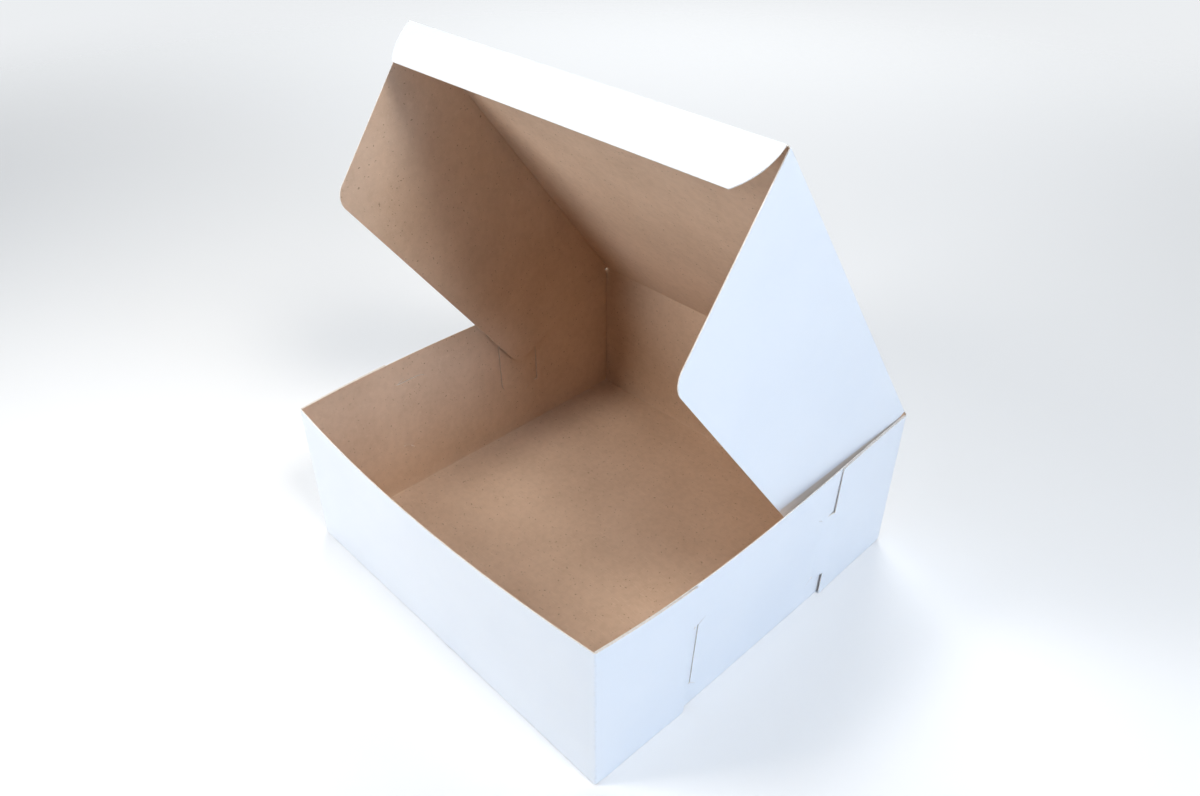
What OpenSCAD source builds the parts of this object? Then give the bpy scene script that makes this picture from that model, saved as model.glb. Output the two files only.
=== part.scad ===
// Bakery box folded from one sheet of paperboard: a tray with four locked
// corners, and a tuck lid that stands propped open on its own side flaps

/* [Board] */
// Thickness of the paperboard
board_t = 0.6; // [0.4:0.05:0.9]
// Outside radius of the folded edges
fold_r = 1.2; // [1:0.1:2]
// Gap between two layers that lie against each other
layer_gap = 0.2; // [0.15:0.05:0.4]
// Gap at a crease between a panel and the flap that turns on it
crease_gap = 0.2; // [0.1:0.05:0.4]

/* [Tray] */
// Width over the corner tabs
tray_w = 254; // [200:1:320]
// Length from the front wall to the back wall
tray_l = 254; // [210:1:320]
// Height of the front wall and the side walls
wall_h = 100; // [92:1:130]
// Outward bow of the front wall at the middle of its top edge
front_bow = 7; // [0:0.5:12]
// Outward bow of the right wall at the middle of its top edge
right_bow = 5; // [0:0.5:10]
// Outward bow of the left wall at the middle of its top edge
left_bow = 4.5; // [0:0.5:10]
// How much more the side walls bow towards the front than towards the back
bow_lean = 0.6; // [0:0.1:0.8]
// Gap between the ends of a side wall and the walls it meets
wall_end_gap = 0.3; // [0.2:0.1:1]

/* [Lock corners] */
// Length of a front tab along the side wall
front_tab_len = 64; // [45:1:72]
// Length of a back tab along the side wall
back_tab_len = 68; // [45:1:72]
// Height of a tab's lower edge above the surface the box stands on
tab_foot = 0.2; // [0.1:0.1:0.5]
// How far the free end of a tab springs away from the side wall
tab_spring = 1.2; // [0.5:0.1:4]
// Radius at the corners of a tab's free end
tab_corner_r = 2; // [0.5:0.5:5]
// Distance from the free end of a front tab to its slit
front_slit_gap = 3.5; // [3:0.5:10]
// Distance from the free end of a back tab to its slit
back_slit_gap = 7.5; // [3:0.5:10]
// Height of the tongue that goes through the slit
tongue_h = 49; // [30:1:54]
// Height of the right tongues' lower edge
right_tongue_low = 18.5; // [10:0.5:34]
// Distance of the left tongues' upper edge below the top of the wall
left_tongue_drop = 17; // [12:0.5:40]
// How far a tongue reaches inside the wall past its slit
tongue_reach = 25; // [15:1:32]
// Radius at the corners of a tongue's end
tongue_corner_r = 11; // [4:1:14]
// Clearance around a tongue in its slit
slit_clear = 0.2; // [0.1:0.05:0.5]
// Length of the slanting cut at each end of a slit
slit_hook = 6; // [3:0.5:9]

/* [Lid] */
// Angle at which the lid stands open
lid_open = 53.6; // [0:0.1:120]
// How far the lid's hinge line stands above the other walls
hinge_rise = 1.6; // [1.2:0.1:4]
// Clearance between a side flap and the side wall it slips inside
flap_clear = 0.4; // [0.3:0.1:2]
// Clearance between the closed tuck flap and the front wall
tuck_clear = 2.1; // [1.8:0.1:5]

/* [Lid flaps] */
// Height of a side flap's lower edge above the floor of the closed box
flap_floor_gap = 3; // [1:0.5:12]
// How far the front edge of a side flap slants back over its depth
flap_front_slant = 31; // [27:1:50]
// How far the rear edge of a side flap slants forward over its depth
flap_rear_slant = 16; // [4:1:30]
// Radius at the lower corners of a side flap
flap_corner_r = 12; // [4:1:20]
// Gap between the ends of a side flap and the lid's creases
flap_end_gap = 0.8; // [0.6:0.1:2]
// Depth of the tuck flap
tuck_h = 25.4; // [18:0.2:34]
// How far each end of the tuck flap draws in over its depth
tuck_inset = 10.4; // [4:0.2:16]
// Radius of the tuck flap's curved ends
tuck_end_r = 32; // [22:1:60]

/* [Hidden] */
$fn = 64;
white_board = [0.95, 0.96, 0.99];
front_steps = 24;
middle_steps = 10;
tab_steps = 8;
tongue_steps = 4;
fold_sides = 12;
// Turn of the slanting cuts at the top and at the foot of a slit
top_hook_turn = 150;
foot_hook_turn = -130;

// The side walls stand one layer inside the corner tabs
side_x = tray_w / 2 - board_t - layer_gap;
// Half the span over which a wall bows, between the corner folds
front_span = tray_w / 2 - fold_r;
side_span = tray_l / 2 - fold_r;
// Height of the left tongues' lower edge
left_tongue_low = wall_h - left_tongue_drop - tongue_h;
// Mid-line of a tab at its corner and of a tongue inside the wall
tab_mid = tray_w / 2 - board_t / 2;
tongue_mid = side_x - 3 / 2 * board_t - layer_gap;
// Width of the slanting cuts at the ends of a slit
kerf = board_t + slit_clear;
// Distance from the line of a crease to the edge of the board beside it
crease_edge = board_t / 2 + crease_gap;
// A lock: length of its tab, distance from the tab's free end to the slit, and
// how the wall's bow changes from the middle of the wall towards this lock
front_lock = [front_tab_len, front_slit_gap, bow_lean];
back_lock = [back_tab_len, back_slit_gap, -bow_lean];

// The lid turns on the middle of the back wall's top edge
hinge_y = tray_l / 2 - board_t / 2;
hinge_z = wall_h + hinge_rise;
// Side flaps: outer face, and the crease at their inner face
flap_x = side_x - board_t - flap_clear;
crease_x = flap_x - board_t;
flap_depth = hinge_z - board_t - flap_floor_gap;
// Distances along the lid from its hinge
tuck_u = hinge_y + tray_l / 2 - tuck_clear - 3 / 2 * board_t;
flap_front = tuck_u - board_t / 2 - flap_end_gap;
flap_rear = crease_edge + flap_end_gap;
tuck_half = crease_x - flap_end_gap;

// A point of a wall: along it, out from the middle of the box, and up.
// The wall bows outward in step with its height above the bottom fold.
function bow_share(share, lean) = (1 - pow(share, 2)) * (1 + lean * share);
function bowed(along, out, up, span, bow, lean) =
    [along, out + bow * bow_share(along / span, lean) * (up - fold_r) / (wall_h - fold_r), up];

// Sheet of board that follows a wall through stations [along, out of its
// mid-line], from height low to height high
module bowed_sheet(stations, low, high, span, bow, lean = 0) {
    n = len(stations);
    corners = [
        for (s = stations)
            each [
                bowed(s[0], s[1] - board_t / 2, low, span, bow, lean),
                bowed(s[0], s[1] + board_t / 2, low, span, bow, lean),
                bowed(s[0], s[1] + board_t / 2, high, span, bow, lean),
                bowed(s[0], s[1] - board_t / 2, high, span, bow, lean),
            ]
    ];
    // Both faces of the sheet split each patch along the same diagonal
    sides = [
        for (i = [0 : n - 2], k = [0 : 3])
            let (a = 4 * i + k, b = 4 * i + (k + 1) % 4)
                each k < 3 ? [[a, a + 4, b], [b, a + 4, b + 4]] : [[a, a + 4, b + 4], [a, b + 4, b]]
    ];
    ends = [[0, 1, 2, 3], [for (k = [3 : -1 : 0]) 4 * (n - 1) + k]];
    polyhedron(corners, concat(sides, ends), convexity = 6);
}

// The shoulder at the free end of a tab, from the middle of the side wall
function shoulder(lock) = tray_l / 2 - lock[0];

// Places along a side wall between the shoulder of a tab and the corner fold
function tab_places(lock) = [
    for (i = [0 : tab_steps])
        shoulder(lock) + (side_span - shoulder(lock)) * i / tab_steps
];

// Half a side wall, from its middle to its end: it has a tab's own stations
// where the tab lies on it, so that the two layers stay parallel
function half_wall_stations(lock) = [
    for (i = [0 : middle_steps - 1]) [shoulder(lock) * i / middle_steps, side_x - board_t / 2],
    for (a = tab_places(lock)) [a, side_x - board_t / 2],
    [tray_l / 2 - board_t - wall_end_gap, side_x - board_t / 2],
];

// How steeply a tongue leans from the end of its tab to its slit
function tongue_slope(lock) = (tab_spring + board_t + layer_gap) / lock[1];

// Place of a slit along the side wall, and half its width
function slit_at(lock) = shoulder(lock) - lock[1];
function slit_half(lock) = (board_t + slit_clear) / tongue_slope(lock);

// Where a tongue has come through its slit and lies inside the wall
function tongue_inside(lock) = slit_at(lock) - (board_t + layer_gap) / tongue_slope(lock);
function tongue_end(lock) = tongue_inside(lock) - tongue_reach;

// Stations from the end of a tongue to the corner its tab folds round
function tab_stations(lock) = [
    for (i = [0 : tongue_steps])
        [tongue_end(lock) + tongue_reach * i / tongue_steps, tongue_mid],
    for (i = [0 : tab_steps])
        [tab_places(lock)[i], tab_mid + tab_spring * pow(1 - i / tab_steps, 2)],
];

// Stands an outline of along and up on edge, through the whole half of the box
module across_wall() {
    translate([0, tray_w, 0]) rotate([90, 0, 0]) linear_extrude(tray_w) children();
}

module rounded(r) {
    offset(r = r) offset(delta = -r) children();
}

// Outline of a tab with its tongue
module lock_outline(lock, tongue_low) {
    end = tongue_end(lock);
    rounded(tab_corner_r)
        translate([shoulder(lock), tab_foot]) square([tray_l, wall_h - tab_foot]);
    translate([end, tongue_low]) intersection() {
        rounded(tongue_corner_r) square([tray_l, tongue_h]);
        square([shoulder(lock) - end + tab_corner_r + fold_r, tongue_h]);
    }
}

// Outline of a slit with a slanting cut at each end
module slit_outline(lock, tongue_low) {
    half = slit_half(lock);
    low = tongue_low - slit_clear;
    high = tongue_low + tongue_h + slit_clear;
    translate([slit_at(lock) - half, low]) square([2 * half, high - low]);
    translate([slit_at(lock), high]) rotate(top_hook_turn) square([slit_hook + half, kerf]);
    translate([slit_at(lock), low]) rotate(foot_hook_turn)
        translate([0, -kerf]) square([slit_hook + half, kerf]);
}

// Tab of the front or back wall, with the tongue that locks it in the side wall
module lock_tab(lock, bow, tongue_low) {
    intersection() {
        bowed_sheet(tab_stations(lock), tab_foot, wall_h, side_span, bow, lock[2]);
        across_wall() lock_outline(lock, tongue_low);
    }
}

// Half a side wall with its slit, and the tab that locks in it
module locked_half(lock, bow, tongue_low) {
    difference() {
        bowed_sheet(half_wall_stations(lock), fold_r, wall_h, side_span, bow, lock[2]);
        across_wall() slit_outline(lock, tongue_low);
    }
    lock_tab(lock, bow, tongue_low);
}

// Right side of the tray: its wall, held by the tabs of the front and back walls
module tray_side(bow, tongue_low) {
    rotate([0, 0, -90]) {
        locked_half(front_lock, bow, tongue_low);
        mirror([1, 0, 0]) locked_half(back_lock, bow, tongue_low);
    }
}

// Section of a fold that turns a quarter of a circle in three flats
module fold_section() {
    difference() {
        intersection() {
            circle(r = fold_r, $fn = fold_sides);
            square(fold_r);
        }
        circle(r = fold_r - board_t, $fn = fold_sides);
    }
}

// Fold between the floor and a wall, length along X, wall towards +Y
module bottom_fold(length) {
    rotate([0, -90, 0]) mirror([1, 0, 0]) linear_extrude(length, center = true) fold_section();
}

module tray_floor() {
    floor_x = side_x - fold_r;
    translate([-floor_x, -side_span, 0]) cube([2 * floor_x, 2 * side_span, board_t]);
    for (turn = [0, 180])
        rotate(turn) {
            translate([0, side_span, fold_r]) bottom_fold(2 * floor_x);
            rotate(90) translate([0, floor_x, fold_r]) bottom_fold(2 * side_span);
        }
}

// Upright folds between the front and back walls and their tabs
module corner_folds() {
    for (flip_x = [0, 1], flip_y = [0, 1])
        mirror([flip_x, 0, 0]) mirror([0, flip_y, 0])
            translate([front_span, side_span, tab_foot])
                linear_extrude(wall_h - tab_foot) fold_section();
}

front_stations = [
    for (i = [0 : front_steps]) [front_span * (2 * i / front_steps - 1), tray_l / 2 - board_t / 2]
];

module front_wall() {
    rotate([0, 0, 180])
        bowed_sheet(front_stations, fold_r, wall_h, front_span, front_bow);
}

// Back wall with the rolled edge that the lid turns on
module back_wall() {
    translate([-front_span, tray_l / 2 - board_t, fold_r])
        cube([2 * front_span, board_t, wall_h - fold_r]);
    translate([-flap_x, tray_l / 2 - board_t, fold_r])
        cube([2 * flap_x, board_t, hinge_z - fold_r]);
    translate([-flap_x, hinge_y, hinge_z])
        rotate([0, 90, 0]) cylinder(d = board_t, h = 2 * flap_x);
}

module tray() {
    color(white_board) {
        tray_floor();
        front_wall();
        back_wall();
        corner_folds();
        tray_side(right_bow, right_tongue_low);
        mirror([1, 0, 0]) tray_side(left_bow, left_tongue_low);
    }
}

// Turns what is drawn as on the closed lid to the angle the lid stands at.
// On the lid, -Y runs from the hinge to the front and Z is up from its middle.
module on_lid() {
    translate([0, hinge_y, hinge_z]) rotate([-lid_open, 0, 0]) children();
}

// Round outer edge where a side flap folds down from the lid
module side_fold() {
    translate([crease_x, -crease_edge, -board_t / 2]) rotate([90, 0, 0])
        linear_extrude(tuck_u - crease_edge) intersection() {
            circle(r = board_t);
            square(board_t);
        }
}

module lid_panel() {
    color(white_board) on_lid() {
        translate([-crease_x, -tuck_u, -board_t / 2])
            cube([2 * crease_x, tuck_u - crease_edge, board_t]);
        side_fold();
        mirror([1, 0, 0]) side_fold();
        translate([-crease_x, -tuck_u, 0])
            rotate([0, 90, 0]) cylinder(d = board_t, h = 2 * crease_x);
    }
}

// Outline of a side flap: along the lid from the hinge, and down from the lid
module side_flap_outline() {
    intersection() {
        translate([0, crease_edge]) square([tuck_u, flap_depth]);
        rounded(flap_corner_r) polygon([
            [flap_rear - flap_rear_slant, -flap_depth],
            [flap_front + flap_front_slant, -flap_depth],
            [flap_front - flap_front_slant, flap_depth],
            [flap_rear + flap_rear_slant, flap_depth],
        ]);
    }
}

// Right side flap, hanging square to the lid inside the right wall
module side_flap() {
    on_lid() translate([crease_x, 0, 0]) rotate([90, 0, -90]) mirror([0, 1, 0])
        translate([0, 0, -board_t]) linear_extrude(board_t) side_flap_outline();
}

module right_side_flap() {
    color(white_board) side_flap();
}

module left_side_flap() {
    color(white_board) mirror([1, 0, 0]) side_flap();
}

// Outline of the tuck flap: across the lid, and down from the lid
module tuck_flap_outline() {
    drop = tuck_h - crease_edge;
    chord = norm([tuck_inset, drop]);
    sag = sqrt(pow(tuck_end_r, 2) - pow(chord / 2, 2));
    // Centre of the arc through both corners of the right end
    end_x = tuck_half - tuck_inset / 2 - sag * drop / chord;
    end_y = crease_edge + drop / 2 - sag * tuck_inset / chord;
    intersection() {
        translate([-tuck_half, crease_edge]) square([2 * tuck_half, drop]);
        union() {
            for (flip = [0, 1])
                mirror([flip, 0]) translate([end_x, end_y]) circle(r = tuck_end_r);
            translate([-end_x, crease_edge]) square([2 * end_x, drop]);
        }
    }
}

module front_tuck_flap() {
    color(white_board) on_lid()
        translate([0, board_t / 2 - tuck_u, 0]) rotate([-90, 0, 0])
            translate([0, 0, -board_t]) linear_extrude(board_t) tuck_flap_outline();
}

tray();
lid_panel();
left_side_flap();
right_side_flap();
front_tuck_flap();
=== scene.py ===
"""Looks of a bakery box folded from one sheet of paperboard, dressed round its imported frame."""

import logging
import math
from dataclasses import dataclass, field
from enum import Enum
from functools import cached_property
from typing import Callable, Iterable

import bmesh
import bpy
from mathutils import Matrix, Vector


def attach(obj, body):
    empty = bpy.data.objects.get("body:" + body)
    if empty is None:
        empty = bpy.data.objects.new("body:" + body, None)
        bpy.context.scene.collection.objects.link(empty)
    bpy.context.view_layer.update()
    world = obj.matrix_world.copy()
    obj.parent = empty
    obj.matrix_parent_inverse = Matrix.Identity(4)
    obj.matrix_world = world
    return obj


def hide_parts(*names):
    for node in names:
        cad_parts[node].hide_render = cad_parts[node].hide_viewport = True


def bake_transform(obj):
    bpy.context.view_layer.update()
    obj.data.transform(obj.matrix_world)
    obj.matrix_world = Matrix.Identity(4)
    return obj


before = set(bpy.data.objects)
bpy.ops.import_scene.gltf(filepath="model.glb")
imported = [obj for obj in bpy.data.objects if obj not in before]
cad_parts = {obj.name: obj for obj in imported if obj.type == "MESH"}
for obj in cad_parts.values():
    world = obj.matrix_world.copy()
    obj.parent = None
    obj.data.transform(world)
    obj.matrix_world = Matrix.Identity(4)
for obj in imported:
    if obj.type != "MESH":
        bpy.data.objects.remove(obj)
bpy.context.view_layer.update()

log = logging.getLogger("bakery_box")

MM = 0.001
NEAR = 0.02 * MM
SOFT_FOLD = math.radians(40)
ARC_STEPS = 8
BEND_STEPS = 6
UP = Vector((0, 0, 1))
ACROSS = Vector((1, 0, 0))
DEEP = Vector((0, 1, 0))

Triple = tuple[float, float, float]
Colour = Triple
Paint = Colour | bpy.types.NodeSocket
Test = Callable[[Vector], bool]

EVEN: Triple = (1.0, 1.0, 1.0)


class Face(Enum):
    """Which face of the board a polygon shows, as its material slot."""

    OUTSIDE = 0
    INSIDE = 1
    CUT_EDGE = 2


class Side(Enum):
    """A side of the box, as the sign of X."""

    LEFT = -1
    RIGHT = 1


class End(Enum):
    """An end of the box, as the sign of Y."""

    FRONT = -1
    BACK = 1


@dataclass
class Value:
    """A number in a node tree, given by an output socket. Arithmetic on it adds Math nodes."""

    bench: "NodeBench"
    socket: bpy.types.NodeSocket

    def _math(self, operation: str, first: "Value | float", second: "Value | float") -> "Value":
        """Adds one Math node."""
        return self.bench.number("ShaderNodeMath", {"operation": operation}, {0: first, 1: second})

    def __add__(self, other: "Value | float") -> "Value":
        """Sum."""
        return self._math("ADD", self, other)

    __radd__ = __add__

    def __sub__(self, other: "Value | float") -> "Value":
        """Difference."""
        return self._math("SUBTRACT", self, other)

    def __rsub__(self, other: float) -> "Value":
        """Difference, with the number first."""
        return self._math("SUBTRACT", other, self)

    def __mul__(self, other: "Value | float") -> "Value":
        """Product."""
        return self._math("MULTIPLY", self, other)

    __rmul__ = __mul__

    def step(self, low: float, high: float) -> "Value":
        """Smooth step from 0 at low to 1 at high, which is above low."""
        settings = {"interpolation_type": "SMOOTHSTEP", "clamp": True}
        return self.bench.number("ShaderNodeMapRange", settings, {0: self, 1: low, 2: high})


@dataclass(frozen=True)
class Pattern:
    """A noise pattern in waves per metre, stepped from 0 at low to 1 at high."""

    scale: float
    detail: float
    low: float
    high: float
    stretch: Triple = EVEN


@dataclass
class NodeBench:
    """A new material or world, and the nodes that are added to it."""

    block: bpy.types.Material | bpy.types.World
    tree: bpy.types.NodeTree = field(init=False)

    def __post_init__(self) -> None:
        """Empties the node tree."""
        self.block.use_nodes = True
        self.tree = self.block.node_tree
        self.tree.nodes.clear()

    @cached_property
    def place(self) -> bpy.types.NodeSocket:
        """Where a point is on its piece, in metres."""
        return self.node("ShaderNodeTexCoord").outputs["Object"]

    def node(
        self, kind: str, settings: dict | None = None, sockets: dict | None = None
    ) -> bpy.types.Node:
        """Adds a node.

        Args:
            kind: The node's type.
            settings: Its properties, set first.
            sockets: Values or links for its inputs, by name or number.

        Returns:
            The new node.
        """
        made = self.tree.nodes.new(kind)
        for key, value in (settings or {}).items():
            setattr(made, key, value)
        for key, value in (sockets or {}).items():
            source = value.socket if isinstance(value, Value) else value
            if isinstance(source, bpy.types.NodeSocket):
                self.tree.links.new(source, made.inputs[key])
            else:
                made.inputs[key].default_value = source
        return made

    def number(self, kind: str, settings: dict | None, sockets: dict) -> Value:
        """Adds a node whose first output is a number, and wraps that output."""
        return Value(self, self.node(kind, settings, sockets).outputs[0])

    def noise(self, scale: float, detail: float, stretch: Triple = EVEN) -> Value:
        """Adds a noise pattern on the piece's own coordinates.

        Args:
            scale: Waves per metre.
            detail: Octaves.
            stretch: Scale along each axis, for grain that runs one way.

        Returns:
            The pattern, about 0.5 on average.
        """
        place = self.place
        if stretch != EVEN:
            place = self.node("ShaderNodeMapping", None, {"Vector": place, "Scale": stretch}).outputs[0]
        sockets = {"Vector": place, "Scale": scale, "Detail": detail}
        return self.number("ShaderNodeTexNoise", None, sockets)

    def pattern(self, shape: Pattern) -> Value:
        """Adds a stepped noise pattern."""
        return self.noise(shape.scale, shape.detail, shape.stretch).step(shape.low, shape.high)

    def attribute(self, name: str) -> Value:
        """Reads a number that is painted on the mesh."""
        return Value(self, self.node("ShaderNodeAttribute", {"attribute_name": name}).outputs["Fac"])

    def mix(self, share: Value, first: Paint, second: Paint) -> bpy.types.NodeSocket:
        """Mixes two colours.

        Args:
            share: 0 for the first colour, 1 for the second.
            first: A colour or a colour socket.
            second: A colour or a colour socket.

        Returns:
            The mixed colour.
        """
        sockets = {0: share}
        for slot, colour in ((6, first), (7, second)):
            linked = isinstance(colour, bpy.types.NodeSocket)
            sockets[slot] = colour if linked else (*colour, 1.0)
        return self.node("ShaderNodeMix", {"data_type": "RGBA"}, sockets).outputs[2]

    def bump(self, height: Value, depth: float, strength: float) -> bpy.types.NodeSocket:
        """Bumps the normal by a relief of 0 to 1, whose depth is in metres."""
        sockets = {"Height": height, "Distance": depth, "Strength": strength}
        return self.node("ShaderNodeBump", None, sockets).outputs[0]

    def surface(self, sockets: dict) -> bpy.types.Material:
        """Ends a material's tree in a Principled shader.

        Args:
            sockets: Values or links for the shader.

        Returns:
            The finished material.
        """
        shader = self.node("ShaderNodeBsdfPrincipled", None, sockets)
        self.node("ShaderNodeOutputMaterial", None, {"Surface": shader.outputs[0]})
        return self.block


@dataclass(frozen=True)
class WhiteCoat:
    """Smooth white clay coating on the outer face of the board."""

    colour: Colour = (0.84, 0.875, 0.93)
    clouded: Colour = (0.81, 0.85, 0.915)
    worn: Colour = (0.70, 0.69, 0.69)
    cloud: Pattern = Pattern(14.0, 4.0, 0.35, 0.72)
    streak: Pattern = Pattern(60.0, 3.0, 0.45, 0.8, (1.0, 0.12, 1.0))
    speck: Pattern = Pattern(1500.0, 1.0, 0.74, 0.8)
    scuff: Pattern = Pattern(420.0, 3.0, 0.42, 0.72)
    roughness: float = 0.46
    gloss: float = 0.38
    relief_depth: float = 0.12 * MM
    relief_share: float = 0.35

    def material(self) -> bpy.types.Material:
        """Makes the finish.

        Returns:
            A white with faint clouding, coating marks, fibre relief and rubbed creases.
        """
        bench = NodeBench(bpy.data.materials.new("white_coat"))
        cloud = bench.pattern(self.cloud)
        # On the white side the fold mask only scuffs the coat as wear; the painted shade it carries is
        # used on the kraft side.
        rubbed_and_fold_shade = bench.attribute("rubbed_and_fold_shade") * bench.pattern(self.scuff)
        clouding = cloud * 0.7 + bench.pattern(self.streak) * 0.25
        base = bench.mix(clouding, self.colour, self.clouded)
        base = bench.mix(bench.pattern(self.speck) * 0.18, base, self.worn)
        base = bench.mix(rubbed_and_fold_shade * 0.2, base, self.worn)
        relief = bench.noise(900.0, 4.0) * 0.6 + bench.noise(120.0, 2.0) * 0.4
        return bench.surface({
            "Base Color": base,
            "Roughness": self.roughness + cloud * 0.06 + rubbed_and_fold_shade * 0.2,
            "Normal": bench.bump(relief, self.relief_depth, self.relief_share),
            "Specular IOR Level": self.gloss,
        })


@dataclass(frozen=True)
class KraftFace:
    """Bare brown inner face of the board, with fibres and flecks."""

    light: Colour = (0.69, 0.51, 0.38)
    dark: Colour = (0.58, 0.42, 0.305)
    fibre: Colour = (0.76, 0.59, 0.455)
    fleck: Colour = (0.22, 0.14, 0.09)
    cloud: Pattern = Pattern(24.0, 5.0, 0.3, 0.72)
    mottle: Pattern = Pattern(220.0, 4.0, 0.35, 0.7)
    along: Pattern = Pattern(1300.0, 2.0, 0.56, 0.72, (0.12, 1.0, 1.0))
    cross: Pattern = Pattern(1300.0, 2.0, 0.6, 0.76, (1.0, 0.12, 0.12))
    flecks: Pattern = Pattern(620.0, 1.0, 0.7, 0.77)
    roughness: float = 0.82
    gloss: float = 0.2
    relief_depth: float = 0.18 * MM
    relief_share: float = 0.5

    def material(self) -> bpy.types.Material:
        """Makes the finish.

        Returns:
            A matte brown with clouds, fibres both ways, dark flecks, a rough relief and painted shade
            darkening its folds.
        """
        bench = NodeBench(bpy.data.materials.new("kraft_face"))
        cloud = bench.pattern(self.cloud)
        mottle = bench.pattern(self.mottle)
        along = bench.pattern(self.along)
        cross = bench.pattern(self.cross)
        base = bench.mix(cloud * 0.55 + mottle * 0.35, self.light, self.dark)
        base = bench.mix(along * 0.34 + cross * 0.26, base, self.fibre)
        base = bench.mix(bench.pattern(self.flecks) * 0.6, base, self.fleck)
        # Painted shade: the brown is darkened on the folds, in the inner corners and creases of the box.
        base = bench.mix(bench.attribute("rubbed_and_fold_shade") * 0.25, base, self.dark)
        relief = bench.noise(1000.0, 4.0) * 0.5 + along * 0.25 + mottle * 0.25
        return bench.surface({
            "Base Color": base,
            "Roughness": self.roughness + cloud * 0.1,
            "Normal": bench.bump(relief, self.relief_depth, self.relief_share),
            "Specular IOR Level": self.gloss,
        })


@dataclass(frozen=True)
class CutEdge:
    """Pale core of the board, where the die cut it."""

    core: Colour = (0.84, 0.80, 0.755)
    shade: Colour = (0.74, 0.69, 0.635)
    torn: Pattern = Pattern(700.0, 4.0, 0.35, 0.7)
    roughness: float = 0.86
    gloss: float = 0.2
    relief_depth: float = 0.1 * MM
    relief_share: float = 0.5

    def material(self) -> bpy.types.Material:
        """Makes the finish.

        Returns:
            A pale cream with short torn fibres.
        """
        bench = NodeBench(bpy.data.materials.new("cut_edge"))
        torn = bench.pattern(self.torn)
        relief = bench.noise(2200.0, 3.0)
        return bench.surface({
            "Base Color": bench.mix(torn, self.core, self.shade),
            "Roughness": self.roughness + torn * 0.08,
            "Normal": bench.bump(relief, self.relief_depth, self.relief_share),
            "Specular IOR Level": self.gloss,
        })


@dataclass(frozen=True)
class Board:
    """Measures of the board and its folds that all panels share, in metres.

    The layer is the gap between two sheets that lie on each other. The crease edge is how far from
    the line of its crease a panel ends, and the hinge height is where the lid's crease is.
    """

    thickness: float = 0.6 * MM
    fold: float = 1.2 * MM
    layer: float = 0.2 * MM
    crease_edge: float = 0.5 * MM
    hinge_height: float = 101.6 * MM


def take_up(obj: bpy.types.Object) -> None:
    """Makes an object the only selected one and the active one.

    Args:
        obj: The object.
    """
    bpy.ops.object.select_all(action="DESELECT")
    obj.select_set(True)
    bpy.context.view_layer.objects.active = obj


def place_at(obj: bpy.types.Object, stand: Matrix) -> None:
    """Moves a piece into place and applies the move to its mesh.

    Args:
        obj: The piece.
        stand: Where it goes.
    """
    take_up(obj)
    obj.matrix_world = stand
    bpy.ops.object.transform_apply(location=True, rotation=True, scale=True)


def spread(first: float, last: float, count: int) -> list[float]:
    """Evenly spaced places strictly between two ends."""
    return [first + (last - first) * i / (count + 1) for i in range(1, count + 1)]


def bezier(first: Vector, corner: Vector, last: Vector) -> list[Vector]:
    """Points of a bend, both ends included. Its tangents meet at the corner."""
    shares = [i / BEND_STEPS for i in range(BEND_STEPS + 1)]
    return [first * (1 - t) ** 2 + corner * 2 * t * (1 - t) + last * t * t for t in shares]


def everywhere(place: Vector) -> bool:
    """Passes every point."""
    return True


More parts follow.
